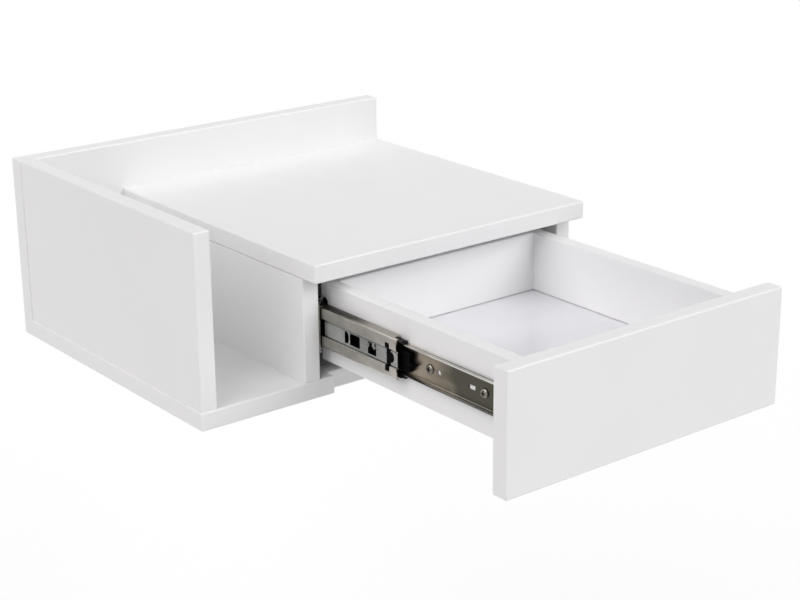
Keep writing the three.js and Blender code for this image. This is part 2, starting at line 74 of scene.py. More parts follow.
# %% Place the camera
camera_place = Vector((-894.8, -1448.3, 486.2)) * mm
camera_yaw, camera_pitch, camera_roll = 38.09, 19.03, 0.49
focal_length = 81.16

bpy.ops.object.camera_add(location=camera_place)
camera = bpy.context.object
camera.name = "camera"
looking = Euler((math.radians(90 - camera_pitch), 0, math.radians(-camera_yaw))).to_matrix()
rolled = looking @ Matrix.Rotation(math.radians(-camera_roll), 3, "Z")
camera.rotation_euler = rolled.to_euler()
camera.data.sensor_width = 36
camera.data.lens = focal_length
bpy.context.scene.camera = camera
print("camera stands", round(camera_place.length, 2), "m from the middle of the wall face")

# %% [markdown]
# ## Small tools of the bench
# Every edit operator works on whatever is selected, so the first habit is to select
# nothing. The next helpers each do one thing a modeller does by hand: add a cube
# between two corners, apply a modifier, cut one shape out of another, and pick the
# corners, edges or faces of a piece by where they lie. A cutting shape reaches a
# little past the surface, so that no thin skin is left in the cut.

# %% Helpers: select nothing, make a block, apply a modifier, cut, join
overshoot = 1 * mm


def deselect():
    if bpy.context.object and bpy.context.object.mode != "OBJECT":
        bpy.ops.object.mode_set(mode="OBJECT")
    bpy.ops.object.select_all(action="DESELECT")


def block(name, low, high):
    deselect()
    low, high = Vector(low), Vector(high)
    bpy.ops.mesh.primitive_cube_add(size=1, location=(low + high) / 2, scale=high - low)
    bpy.ops.object.transform_apply(location=True, rotation=True, scale=True)
    bpy.context.object.name = name
    return bpy.context.object


def apply_modifier(piece, kind, **settings):
    deselect()
    piece.select_set(True)
    bpy.context.view_layer.objects.active = piece
    modifier = piece.modifiers.new(kind.lower(), kind)
    for setting, value in settings.items():
        setattr(modifier, setting, value)
    bpy.ops.object.modifier_apply(modifier=modifier.name)


def combine(piece, tool, operation="DIFFERENCE"):
    apply_modifier(piece, "BOOLEAN", operation=operation, object=tool, solver="EXACT")
    bpy.data.objects.remove(tool, do_unlink=True)


def join(piece, parts):
    deselect()
    for part in (*parts, piece):
        part.select_set(True)
    bpy.context.view_layer.objects.active = piece
    bpy.ops.object.join()


# %% Helpers: pick by place, count the faces
def pick(piece, kind, test):
    deselect()
    piece.select_set(True)
    bpy.context.view_layer.objects.active = piece
    bpy.ops.object.mode_set(mode="EDIT")
    bpy.ops.mesh.select_mode(type=kind)
    bpy.ops.mesh.select_all(action="DESELECT")
    bpy.ops.object.mode_set(mode="OBJECT")
    mesh = piece.data
    if kind == "VERT":
        for corner in mesh.vertices:
            corner.select = test([corner.co])
    else:
        for element in mesh.edges if kind == "EDGE" else mesh.polygons:
            element.select = test([mesh.vertices[i].co for i in element.vertices])
    bpy.ops.object.mode_set(mode="EDIT")


def print_faces(piece):
    print(piece.name, "faces:", len(piece.data.polygons))


# %% [markdown]
# ## Rounding and shading
# No board or pressed part has a knife edge. A narrow bevel catches the light, and it is
# what makes a white object readable on a white ground. Faces are shaded smooth except
# over sharp edges, and weighted normals keep the big flat faces flat beside the bevel.

# %% Helpers: round the edges, shade
def round_edges(piece, width, segments, sharper_than=40):
    limit = math.radians(sharper_than)
    apply_modifier(
        piece, "BEVEL", width=width, segments=segments, limit_method="ANGLE", angle_limit=limit
    )


def shade(piece, angle=35):
    deselect()
    piece.select_set(True)
    bpy.context.view_layer.objects.active = piece
    bpy.ops.object.shade_smooth_by_angle(angle=math.radians(angle))
    apply_modifier(piece, "WEIGHTED_NORMAL", keep_sharp=True, weight=100)


# %% [markdown]
# ## Round pieces
# Screws, dowels, balls and holes are all turned shapes. A disc is drawn up ring by ring:
# each step extrudes the last face and resizes it to the next radius. That gives closed
# solids and can make a plain pin as well as a screw with its thread rings and head.

# %% Helpers: a turned solid, and copies of it in their places
def turned(name, profile, sides=32):
    deselect()
    (radius, height), *rest = profile
    bpy.ops.mesh.primitive_circle_add(
        vertices=sides, radius=radius, fill_type="NGON", location=(0, 0, height)
    )
    piece = bpy.context.object
    piece.name = name
    bpy.ops.object.transform_apply(location=True, rotation=True, scale=True)
    bpy.ops.object.mode_set(mode="EDIT")
    bpy.ops.mesh.select_all(action="SELECT")
    for next_radius, next_height in rest:
        step = (0, 0, next_height - height)
        bpy.ops.mesh.extrude_region_move(TRANSFORM_OT_translate={"value": step})
        growth = next_radius / radius
        bpy.ops.transform.resize(value=(growth, growth, 1), center_override=(0, 0, next_height))
        radius, height = next_radius, next_height
    bpy.ops.mesh.select_all(action="SELECT")
    bpy.ops.mesh.normals_make_consistent(inside=False)
    bpy.ops.object.mode_set(mode="OBJECT")
    return piece


def standing(place, outward):
    turn = Vector((0, 0, 1)).rotation_difference(Vector(outward)).to_matrix().to_4x4()
    return Matrix.Translation(place) @ turn


def copy_of(master, name, matrix):
    copy = master.copy()
    copy.data = master.data.copy()
    copy.name = name
    bpy.context.scene.collection.objects.link(copy)
    copy.data.transform(matrix)
    return copy


def moved(piece, matrix):
    piece.data.transform(matrix)
    return piece


# %% [markdown]
# ## Finishes
# Every finish is a procedural material on Object coordinates, so a pattern stays on its
# piece when the drawer moves. A stretched noise gives drawn lines on steel or grain on
# wood, an even one gives the fine waviness of lacquer. The same noise drives the shade,
# the gloss and a very small relief, as it does on the real surface.

# %% Helpers: a material and its noise
def finish(name, metallic, specular=0.5):
    material = bpy.data.materials.new(name)
    material.use_nodes = True
    shader = material.node_tree.nodes["Principled BSDF"]
    shader.inputs["Metallic"].default_value = metallic
    shader.inputs["Specular IOR Level"].default_value = specular
    return material


def noise(material, stretch, detail):
    tree = material.node_tree
    place = tree.nodes.new("ShaderNodeTexCoord")
    mapping = tree.nodes.new("ShaderNodeMapping")
    mapping.inputs["Scale"].default_value = [1 / length for length in stretch]
    texture = tree.nodes.new("ShaderNodeTexNoise")
    texture.inputs["Scale"].default_value = 1.0
    texture.inputs["Detail"].default_value = detail
    tree.links.new(place.outputs["Object"], mapping.inputs["Vector"])
    tree.links.new(mapping.outputs["Vector"], texture.inputs["Vector"])
    return texture.outputs["Fac"]


noise_low, noise_high = 0.3, 0.7


def shades(material, factor, dark, light, last=None):
    tree = material.node_tree
    ramp = tree.nodes.new("ShaderNodeValToRGB")
    stops = ramp.color_ramp.elements
    ramp.color_ramp.interpolation = "EASE"
    stops[0].position, stops[0].color = noise_low, (*dark, 1)
    stops[1].position, stops[1].color = noise_high, (*light, 1)
    if last:
        light_from, light_to, last_from = 0.55, 0.68, 0.80
        stops[1].position = light_from
        stops.new(light_to).color = (*light, 1)
        stops.new(last_from).color = (*last, 1)
    tree.links.new(factor, ramp.inputs["Fac"])
    tree.links.new(ramp.outputs["Color"], tree.nodes["Principled BSDF"].inputs["Base Color"])


def gloss(material, factor, smoothest, roughest):
    tree = material.node_tree
    spread = tree.nodes.new("ShaderNodeMapRange")
    spread.inputs["From Min"].default_value = noise_low
    spread.inputs["From Max"].default_value = noise_high
    spread.inputs["To Min"].default_value = smoothest
    spread.inputs["To Max"].default_value = roughest
    tree.links.new(factor, spread.inputs["Value"])
    tree.links.new(spread.outputs["Result"], tree.nodes["Principled BSDF"].inputs["Roughness"])


def relief(material, factor, depth):
    tree = material.node_tree
    bump = tree.nodes.new("ShaderNodeBump")
    bump.inputs["Distance"].default_value = depth
    tree.links.new(factor, bump.inputs["Height"])
    tree.links.new(bump.outputs["Normal"], tree.nodes["Principled BSDF"].inputs["Normal"])


# %% [markdown]
# ## White lacquer and the drawer's floor sheet
# The boards are sprayed satin white. Sprayed paint levels out into a faint orange peel,
# a few millimetres across and a few thousandths deep. It shows only in reflections. The
# floor of the drawer is a thin printed sheet, smoother and a little blue beside the
# boards.

# %% Lacquer and floor sheet
lacquer = finish("white_lacquer", metallic=0.0, specular=0.3)
clouds = noise(lacquer, stretch=[90 * mm] * 3, detail=2.0)
peel = noise(lacquer, stretch=[2.4 * mm] * 3, detail=2.0)
shades(lacquer, clouds, dark=(0.894, 0.891, 0.893), light=(0.906, 0.904, 0.906))
gloss(lacquer, clouds, smoothest=0.29, roughest=0.33)
relief(lacquer, peel, depth=0.008 * mm)

floor_white = finish("bluish_white_sheet", metallic=0.0)
sheet_clouds = noise(floor_white, stretch=[60 * mm, 25 * mm, 60 * mm], detail=3.0)
shades(floor_white, sheet_clouds, dark=(0.82, 0.825, 0.86), light=(0.835, 0.84, 0.875))
gloss(floor_white, sheet_clouds, smoothest=0.18, roughest=0.21)
relief(floor_white, noise(floor_white, stretch=[3 * mm] * 3, detail=1.0), depth=0.003 * mm)
print("finishes:", lacquer.name, floor_white.name)

# %% [markdown]
# ## Steel, plastic and beech
# The slides are cold rolled steel with a zinc coat. The rolls leave fine lines along the
# slide. The bands are a warm grey, and the pressed middle web is smoother; its cooler,
# paler grey is a painted reflection. Bands and ball tracks carry painted shade, darker
# inside the cabinet and by the divider and lighter in front. The runner's coat is olive
# and tan, and over it lies a painted reflection, tan beside the lever and a dark olive
# towards its front end, with painted shade near black further back inside the channel.
# A material can follow the length of a piece when one Object coordinate is blended with
# the noise. Clips and levers are black moulded plastic, dowels are beech.

# %% Helpers: blend two patterns, follow the length, a drawn steel
def blended(material, pattern, second, share):
    tree = material.node_tree
    blend = tree.nodes.new("ShaderNodeMix")
    blend.inputs["Factor"].default_value = share
    tree.links.new(pattern, blend.inputs["A"])
    tree.links.new(second, blend.inputs["B"])
    return blend.outputs["Result"]


def along(material, start, end):
    tree = material.node_tree
    place = tree.nodes.new("ShaderNodeTexCoord")
    parts = tree.nodes.new("ShaderNodeSeparateXYZ")
    rise = tree.nodes.new("ShaderNodeMapRange")
    rise.inputs["From Min"].default_value = start
    rise.inputs["From Max"].default_value = end
    tree.links.new(place.outputs["Object"], parts.inputs["Vector"])
    tree.links.new(parts.outputs["Y"], rise.inputs["Value"])
    return rise.outputs["Result"]


def drawn_steel(name, dark, light, rough, span=None, share=0.7, last=None, metallic=1.0):
    material = finish(name, metallic=metallic, specular=0.2)
    lines = noise(material, stretch=[0.9 * mm, 30 * mm, 0.9 * mm], detail=4.0)
    patches = noise(material, stretch=[14 * mm, 30 * mm, 14 * mm], detail=2.0)
    if span:
        pattern = blended(material, patches, along(material, *span), share)
    else:
        pattern = blended(material, patches, lines, share=0.45)
    shades(material, pattern, dark, light, last)
    gloss(material, lines, *rough)
    relief(material, lines, depth=0.005 * mm)
    return material


# %% Mix the metals
runner_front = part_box("left_drawer_member")[0].y
channel_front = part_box("left_middle_member")[0].y
# Painted reflection along the runner, with painted shade at its rear end.
reflection_painted = (runner_front + 40 * mm, runner_front + 165 * mm)
# Painted shade: the bands darken towards the divider and are lighter in front.
shaded_by_divider = (channel_front + 120 * mm, channel_front - 20 * mm)
# Painted shade: the ball tracks are near black inside the cabinet and lighter in front.
lit_towards_front = (channel_front + 80 * mm, channel_front + 20 * mm)
band_steel = drawn_steel(
    "warm_zinc", dark=(0.31, 0.30, 0.275), light=(0.59, 0.56, 0.51), rough=(0.17, 0.26),
    span=shaded_by_divider, share=0.45
)
# The web's cooler, paler grey is a painted reflection; its lower roughness is real.
web_steel = drawn_steel(
    "web_zinc_painted_reflection", dark=(0.35, 0.36, 0.345), light=(0.49, 0.50, 0.48), rough=(0.12, 0.18)
)
# The track finish carries the painted shade of the flange tops.
track_steel = drawn_steel(
    "track_zinc_painted_shade", dark=(0.060, 0.060, 0.048), light=(0.40, 0.38, 0.34), rough=(0.28, 0.38),
    span=lit_towards_front
)
# Painted highlight for the runner's folds and the inner sides of its flanges.
fold_highlight_steel = drawn_steel(
    "fold_zinc_painted_highlight", dark=(0.48, 0.47, 0.44), light=(0.66, 0.65, 0.62), rough=(0.18, 0.25)
)
# The screws' zinc is painted darker than bright zinc is, a painted reflection of dark surroundings.
screw_steel = drawn_steel(
    "bright_zinc", dark=(0.14, 0.13, 0.11), light=(0.32, 0.30, 0.26), rough=(0.12, 0.20)
)
# Painted shadow: the lower lip of the runner stands in for the shadow under its flange.
lip_shadow_steel = drawn_steel(
    "painted_shadow_lip", dark=(0.05, 0.05, 0.045), light=(0.13, 0.13, 0.12), rough=(0.30, 0.38)
)
black_zinc = drawn_steel(
    "black_zinc", dark=(0.13, 0.13, 0.12), light=(0.22, 0.22, 0.20), rough=(0.20, 0.26)
)
# Over the coat's own olive and tan: a painted reflection from tan to dark olive, and painted shade
# near black at the rear inside the channel.
runner_steel = drawn_steel(
    "runner_zinc_painted_reflection", dark=(0.080, 0.074, 0.058), light=(0.36, 0.305, 0.24), rough=(0.29, 0.38),
    span=reflection_painted, last=(0.02, 0.019, 0.016)
)
dark_steel = drawn_steel(
    "black_coat", dark=(0.006, 0.006, 0.006), light=(0.016, 0.016, 0.015), rough=(0.30, 0.42),
    metallic=0.0
)
print("the runner is toned from y = %.3f to %.3f m" % reflection_painted)

# %% Plastic and beech
black_plastic = finish("black_plastic", metallic=0.0, specular=0.02)
spark = noise(black_plastic, stretch=[0.5 * mm] * 3, detail=2.0)
shades(black_plastic, spark, dark=(0.001, 0.001, 0.001), light=(0.003, 0.003, 0.0035))
gloss(black_plastic, spark, smoothest=0.38, roughest=0.52)
relief(black_plastic, spark, depth=0.02 * mm)

beech = finish("beech", metallic=0.0)
fibres = noise(beech, stretch=[0.8 * mm, 0.8 * mm, 14 * mm], detail=4.0)
shades(beech, fibres, dark=(0.42, 0.28, 0.15), light=(0.60, 0.43, 0.26))
gloss(beech, fibres, smoothest=0.55, roughest=0.75)
relief(beech, fibres, depth=0.05 * mm)
print("finishes:", black_plastic.name, beech.name)

# %% [markdown]
# ## Handing a piece over
# A finished piece gets its finish, rides on the body it moves with, and replaces the
# plain solid that stood for it.

# %% Helper: hand a piece over
def hand_over(piece, node, body, slot, *finishes):
    if finishes:
        piece.data.materials.clear()
        for material in finishes:
            piece.data.materials.append(material)
    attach(piece, body)
    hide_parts(node)


# %% [markdown]
# ## Screws
# Three kinds hold the cabinet together: long countersunk screws for the carcass, short
# black ones in the drawer sides, and pan heads for the slides. Each is turned once, with
# thread rings on its shank, and a cross recess is cut by two crossing blades. The
# master's head ends at height zero, so a copy is placed by the middle of its head.

# %% Helpers: a thread, a cross recess, and both kinds of screw
def thread(core, crest, bottom, top, pitch):
    to_crest, to_core = 0.4 * pitch, 0.8 * pitch
    rings = []
    for turn in range(int((top - bottom) / pitch)):
        height = bottom + turn * pitch
        rings += [(core, height), (crest, height + to_crest), (core, height + to_core)]
    return rings


def cross_recess(screw, head, head_height):
    arm, blade, depth, taper = 0.64 * head, 0.2 * head, 0.75 * head_height, 0.6
    for across, reach in ((blade, arm), (arm, blade)):
        tool = block("blade", (-across, -reach, -depth), (across, reach, depth))
        pick(tool, "FACE", lambda corners: all(corner.z < 0 for corner in corners))
        bpy.ops.transform.resize(value=(taper, taper, 1), center_override=(0, 0, -depth))
        bpy.ops.object.mode_set(mode="OBJECT")
        combine(screw, tool)


def flat_screw(name, crest, length, head, head_height, pitch):
    core, tip, rim = crest * 0.72, crest * 0.2, head_height * 0.15
    neck = -head_height - 0.2 * length
    shank = [(tip, -length), *thread(core, crest, crest - length, neck, pitch), (core, neck)]
    screw = turned(name, [*shank, (core, -head_height), (head, -rim), (head, 0)], sides=28)
    cross_recess(screw, head, head_height)
    shade(screw)
    return screw


def pan_screw(name, crest, length, head, head_height, pitch):
    core, tip, foot = crest * 0.72, crest * 0.2, head * 0.96
    shank = [(tip, -length), *thread(core, crest, crest - length, -head_height, pitch)]
    dome_height, steps, last_angle = head_height * 0.85, 5, math.radians(75)
    dome = [(core, -head_height), (foot, -head_height), (head, -dome_height)]
    for step in range(1, steps + 1):
        angle = last_angle * step / steps
        rise = math.sin(angle) / math.sin(last_angle)
        dome.append((head * (0.5 + 0.5 * math.cos(angle)), -dome_height * (1 - rise)))
    screw = turned(name, [*shank, *dome], sides=28)
    cross_recess(screw, head, head_height)
    shade(screw)
    return screw


# %% Turn one screw of each kind
carcass_screw = flat_screw(
    "carcass_screw", crest=2.5 * mm, length=50 * mm, head=4.7 * mm, head_height=3.4 * mm,
    pitch=2.0 * mm
)
black_screw = flat_screw(
    "black_screw", crest=1.75 * mm, length=32 * mm, head=3.2 * mm, head_height=2.6 * mm,
    pitch=1.5 * mm
)
slide_screw = pan_screw(
    "slide_screw", crest=1.75 * mm, length=12.9 * mm, head=4.2 * mm, head_height=1.9 * mm,
    pitch=1.3 * mm
)
for master in (carcass_screw, black_screw, slide_screw):
    print_faces(master)

# %% [markdown]
# ## Where the screws sit
# A screw's plain solid tells its place: the middle of its box across, and the end of the
# box on the side its head points to. The same place serves the copy of the screw and
# the countersink that it needs in a board.

# %% Helpers: the head's place, the copy and its countersink
def head_place(node, outward):
    low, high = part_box(node)
    half = (high - low) / 2
    return (low + high) / 2 + Vector([half[i] * outward[i] for i in range(3)])


def put_screws(master, pattern, outward, body, slot, material):
    names = sorted(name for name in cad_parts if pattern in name)
    for name in names:
        place = standing(head_place(name, outward), outward)
        copy = copy_of(master, name.replace("screw", "fixing"), place)
        hand_over(copy, name, body, slot, material)
    return names


def countersinks(names, outward, head, head_height, core, straight=0.6 * mm):
    tools = []
    drilled = 6 * head_height
    profile = [(core, -drilled), (core, -head_height), (head, -straight), (head, overshoot)]
    for name in names:
        tool = turned("countersink", profile, sides=36)
        tools.append(moved(tool, standing(head_place(name, outward), outward)))
    return tools


# %% Put the screws of carcass and drawer in
down, back, left, right = (0, 0, -1), (0, 1, 0), (-1, 0, 0), (1, 0, 0)
into_carcass = ("carcass", "bright_zinc", screw_steel)
into_drawer = ("drawer", "black_steel", black_zinc)
bottom_screws = put_screws(carcass_screw, "_bottom_screw_", down, *into_carcass)
back_screws = []
for board_name in ("left_side", "divider", "right_side", "shelf", "bottom"):
    back_screws += put_screws(carcass_screw, board_name + "_back_screw", back, *into_carcass)
left_screws = put_screws(black_screw, "drawer_back_screw_left", left, *into_drawer)
right_screws = put_screws(black_screw, "drawer_back_screw_right", right, *into_drawer)
print("carcass screws:", len(bottom_screws) + len(back_screws))
print("drawer screws:", len(left_screws + right_screws))

# %% Put the slide screws in
on_drawer = ("drawer", "bright_zinc", screw_steel)
for side, wall_way, drawer_way in (("left", right, left), ("right", left, right)):
    wall_screws = put_screws(slide_screw, side + "_cabinet_screw", wall_way, *into_carcass)
    runner_screws = put_screws(slide_screw, side + "_drawer_screw", drawer_way, *on_drawer)
    print(side, "slide:", wall_screws, runner_screws)
for master in (carcass_screw, black_screw, slide_screw):
    bpy.data.objects.remove(master, do_unlink=True)

# %% [markdown]
# ## Boards
# All boards start as a cube between the corners of their plain solid, a little too long
# at each end that butts against another board. Their edges are rounded, and then these
# ends are sawn off, so a butting end stays crisp as in the factory. It stops a hair short
# of its neighbour, which draws the thin joint lines of real furniture. The uprights stand
# just inside the bottom's edges, and the ledge this leaves catches the light as a white
# line. The finger grip is cut before the edges are rounded. Holes and grooves come last,
# with crisp rims.

# %% Helpers: a saw cut and a board
edge_radius = 1.5 * mm
joint_gap, ledge, saw_waste = 0.05 * mm, 0.9 * mm, 3 * mm
up, front_way = (0, 0, 1), (0, -1, 0)


def waste_beyond(low, high, way):
    margin = Vector((2 * saw_waste,) * 3)
    waste_low, waste_high = low - margin, high + margin
    for i in range(3):
        if way[i] > 0:
            waste_low[i] = high[i] - joint_gap
        elif way[i] < 0:
            waste_high[i] = low[i] + joint_gap
    return block("waste", waste_low, waste_high)


def board(name, node, body, slot, material, butts=(), insets=(), cutouts=(), holes=()):
    low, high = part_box(node)
    size = (high - low) / mm
    for way in insets:
        low -= Vector([ledge * min(0, step) for step in way])
        high -= Vector([ledge * max(0, step) for step in way])
    raw_low, raw_high = low.copy(), high.copy()
    for way in butts:
        raw_low -= Vector([saw_waste * max(0, -step) for step in way])
        raw_high += Vector([saw_waste * max(0, step) for step in way])
    piece = block(name, raw_low, raw_high)
    for tool in cutouts:
        combine(piece, tool)
    round_edges(piece, edge_radius, segments=4)
    for way in butts:
        combine(piece, waste_beyond(low, high, way))
    for tool in holes:
        combine(piece, tool)
    shade(piece)
    hand_over(piece, node, body, slot, material)
    print(name, "%.0f x %.0f x %.0f mm," % tuple(size), len(piece.data.polygons), "faces")
    return piece


# %% [markdown]
# ### The carcass
# The bottom is cut back under the drawer, so that fingers reach up behind the front,
# which has no handle. The back stands up behind the shelf as a low rim, and carries the
# cabinet: two plain holes for wall screws are bored where the drawer hides them.

# %% Bottom, sides, divider and shelf
bottom_low, bottom_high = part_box("bottom_panel")
divider_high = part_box("divider_panel")[1]
right_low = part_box("right_side_panel")[0]
grip_inset, grip_depth = 14 * mm, 10 * mm
grip_low = (divider_high.x + grip_inset, bottom_low.y - overshoot, bottom_low.z - overshoot)
grip_high = (right_low.x - grip_inset, bottom_low.y + grip_depth, bottom_high.z + overshoot)
carcass_sink = {"head": 4.85 * mm, "head_height": 3.4 * mm, "core": 2.6 * mm}
carcass = ("carcass", "white_lacquer", lacquer)
board(
    "bottom_board", "bottom_panel", *carcass, butts=[back],
    cutouts=[block("finger_grip", grip_low, grip_high)],
    holes=countersinks(bottom_screws, down, **carcass_sink),
)
board("left_side_board", "left_side_panel", *carcass, [back, down], insets=[left, front_way])
board("divider_board", "divider_panel", *carcass, [back, down, up], insets=[front_way])
board("right_side_board", "right_side_panel", *carcass, [back, down, up], insets=[front_way])
board("shelf_board", "shelf_top", *carcass, butts=[back])

# %% Back board with its screw holes
back_low, back_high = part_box("back_panel")
shelf_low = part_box("shelf_top")[0]
wall_hole_radius, wall_hole_inset, wall_hole_drop = 3.5 * mm, 32 * mm, 22 * mm
hole_depth = back_high.y - back_low.y
wall_holes = []
for x in (divider_high.x + wall_hole_inset, right_low.x - wall_hole_inset):
    hole_ends = [(wall_hole_radius, -hole_depth), (wall_hole_radius, 2 * hole_depth)]
    hole = turned("wall_hole", hole_ends)
    place = Vector((x, back_low.y, shelf_low.z - wall_hole_drop))
    wall_holes.append(moved(hole, standing(place, back)))
board(
    "back_board", "back_panel", *carcass,
    holes=[*countersinks(back_screws, back, **carcass_sink), *wall_holes],
)

# %% [markdown]
# ### The drawer
# Four boards carry a thin floor in a groove that runs round them. The groove is a little
# taller than the sheet, which leaves the fine dark line round the floor. The groove in
# the front stops short of its ends, so it stays hidden from outside.

# %% Front, sides and back of the drawer
floor_low, floor_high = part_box("drawer_floor")
groove_below, groove_above, groove_end = 0.2 * mm, 0.7 * mm, 0.3 * mm
groove_low = floor_low - Vector((groove_end, groove_end, groove_below))
groove_high = floor_high + Vector((groove_end, groove_end, groove_above))
drawer = ("drawer", "white_lacquer", lacquer)


def groove():
    return block("groove", groove_low, groove_high)


side_sink = {"head": 4.0 * mm, "head_height": 2.6 * mm, "core": 1.9 * mm, "straight": 2.0 * mm}
board("front_board", "drawer_front", *drawer, holes=[groove()])
for side, way, screws in (("left", left, left_screws), ("right", right, right_screws)):
    cuts = [groove(), *countersinks(screws, way, **side_sink)]
    board(f"drawer_{side}_board", f"drawer_{side}_side", *drawer, butts=[front_way], holes=cuts)
board("drawer_back_board", "drawer_back", *drawer, butts=[left, right], holes=[groove()])

# %% Lay the floor sheet into its groove
floor_sheet = block("drawer_floor_sheet", floor_low, floor_high)
round_edges(floor_sheet, width=0.3 * mm, segments=2)
shade(floor_sheet)
hand_over(floor_sheet, "drawer_floor", "drawer", "floor_sheet", floor_white)
print_faces(floor_sheet)

# %% [markdown]
# ### Dowels
# Fluted beech dowels hold the shelf down and the drawer front to its sides. They are
# never seen, but a part that is taken apart should show them. Each is turned with a
# chamfer at both ends, and shallow flutes are cut along it by pushing in every other
# edge.

# %% Turn a dowel and put the copies in
def dowel(name, radius, length, chamfer):
    half = length / 2
    narrow = radius - chamfer
    profile = [(narrow, -half), (radius, chamfer - half), (radius, half - chamfer), (narrow, half)]
    sides, pushed_in = 32, 0.95
    piece = turned(name, profile, sides=sides)

    def on_flute(corners):
        angle = math.atan2(corners[0].y, corners[0].x)
        return round(angle / (2 * math.pi / sides)) % 2 == 1

    pick(piece, "VERT", on_flute)
    bpy.ops.transform.resize(value=(pushed_in, pushed_in, 1), center_override=(0, 0, 0))
    bpy.ops.object.mode_set(mode="OBJECT")
    shade(piece, angle=60)
    return piece


def put_dowels(pattern, radius, length, direction, body):
    master = dowel("dowel", radius, length, chamfer=0.8 * mm)
    for name in sorted(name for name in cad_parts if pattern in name):
        low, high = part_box(name)
        copy = copy_of(master, name.replace("dowel", "peg"), standing((low + high) / 2, direction))
        hand_over(copy, name, body, "beech", beech)
    bpy.data.objects.remove(master, do_unlink=True)


put_dowels("_shelf_dowel_", radius=4 * mm, length=30 * mm, direction=up, body="carcass")
put_dowels("drawer_front_dowel_", radius=3 * mm, length=26 * mm, direction=back, body="drawer")
print("dowels put in")

# %% [markdown]
# ## The slides
# A full extension slide has three members that run inside each other on rows of balls:
# one on the cabinet, one on the drawer, and one between them. Each is a strip of steel
# folded lengthwise. The way to make one is the way it is made: a flat web stands along
# the slide, its two long edges are drawn out fold by fold, the folds are rounded, and
# the strip gets its thickness. The left slide is modelled about its own middle line,
# with x from the cabinet wall towards the drawer, and both slides are copies of it.

# %% Measure the slide
steel = 1.2 * mm
bend = 1.6 * mm
cabinet_low, cabinet_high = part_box("left_cabinet_member")
middle_low, middle_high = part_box("left_middle_member")
runner_low, runner_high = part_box("left_drawer_member")
wall_x, slide_z = cabinet_low.x, (cabinet_low.z + cabinet_high.z) / 2
right_wall_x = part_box("right_cabinet_member")[1].x
slide_width = runner_high.x - wall_x
to_left = Matrix.Translation((wall_x, 0, slide_z))
to_right = Matrix.Translation((right_wall_x, 0, slide_z)) @ Matrix.Rotation(math.pi, 4, "Y")
print("slide %.1f x %.1f mm" % (slide_width / mm, (cabinet_high.z - cabinet_low.z) / mm))

# %% Helpers: a folded strip with rounded folds, a notch
def folded(name, folds, start, end, radii):
    deselect()
    web_x, web_half = folds[0]
    middle = (web_x, (start + end) / 2, 0)
    bpy.ops.mesh.primitive_plane_add(size=1, location=middle, rotation=(0, math.pi / 2, 0))
    piece = bpy.context.object
    piece.name = name
    piece.scale = (2 * web_half, end - start, 1)
    bpy.ops.object.transform_apply(location=True, rotation=True, scale=True)
    for side in (1, -1):
        pick(piece, "EDGE", lambda corners: all(corner.z * side > 0 for corner in corners))
        for (x, z), (next_x, next_z) in zip(folds, folds[1:]):
            step = (next_x - x, 0, (next_z - z) * side)
            bpy.ops.mesh.extrude_region_move(TRANSFORM_OT_translate={"value": step})
    for (x, z), radius in zip(folds, radii):
        round_fold(piece, x, z, radius)
    apply_modifier(piece, "SOLIDIFY", thickness=steel, offset=0, use_even_offset=True)
    return piece


def round_fold(piece, x, z, radius):
    near = 0.05 * mm

    def on_fold(corners):
        return all(abs(corner.x - x) < near and abs(abs(corner.z) - z) < near for corner in corners)

    pick(piece, "EDGE", on_fold)
    bpy.ops.mesh.bevel(offset=radius, segments=5, affect="EDGES")
    bpy.ops.object.mode_set(mode="OBJECT")


def notch(piece, x_from, x_to, height, front_end, length):
    for side in (1, -1):
        low_z, high_z = sorted((side * (height - steel), side * (height + steel)))
        low = (x_from, front_end - overshoot, low_z)
        high = (x_to + overshoot, front_end + length, high_z)
        combine(piece, block("notch", low, high))


# %% Helper: both copies of a slide piece
part_nodes = {
    "wall_channel": "cabinet_member",
    "middle_channel": "middle_member",
    "drawer_runner": "drawer_member",
    "outer_cage": "outer_ball_cage",
    "inner_cage": "inner_ball_cage",
    "clip": "stop_clip",
    "lever": "release_lever",
}


def both_slides(piece, part, body, slot, *finishes):
    for side, matrix in (("left", to_left), ("right", to_right)):
        copy = copy_of(piece, side + "_" + part, matrix)
        node = side + "_" + part_nodes[part]
        hand_over(copy, node, side + body if body.startswith("_") else body, slot, *finishes)
    print_faces(piece)
    bpy.data.objects.remove(piece, do_unlink=True)


# %% [markdown]
# ### The channel on the cabinet
# The widest member is screwed to the divider and to the right side. Its two flanges are
# the outer tracks of the larger balls, and stop short of its front end. It hides in the
# cabinet, and shows only to an eye that looks in beneath the open drawer.

# %% Fold the wall channel
half_height = (cabinet_high.z - cabinet_low.z) / 2 - steel / 2
reach = cabinet_high.x - wall_x
wall_folds = [(steel / 2, half_height), (reach, half_height)]
wall_channel = folded("wall_channel", wall_folds, cabinet_low.y, cabinet_high.y, [bend])
notch(
    wall_channel, x_from=steel + bend, x_to=reach, height=half_height,
    front_end=cabinet_low.y, length=7 * mm
)
round_edges(wall_channel, width=0.15 * mm, segments=2, sharper_than=60)
shade(wall_channel)
both_slides(wall_channel, "wall_channel", "carcass", "zinc_steel", band_steel)

# %% [markdown]
# ### The middle channel
# This is the member that shows most. Its web is pressed back along the middle, so that
# two raised bands run above and below it, and windows are punched for its stops: a wide
# one, a narrow one beside it with a bowed end, and a smaller one in which a short tab
# stands. A fine crease runs along each edge of the web. Each flange dips a little where
# its balls run, and stops short of the front end, so that the ball cage shows there. The
# last window, near the front end, holds the black clip.

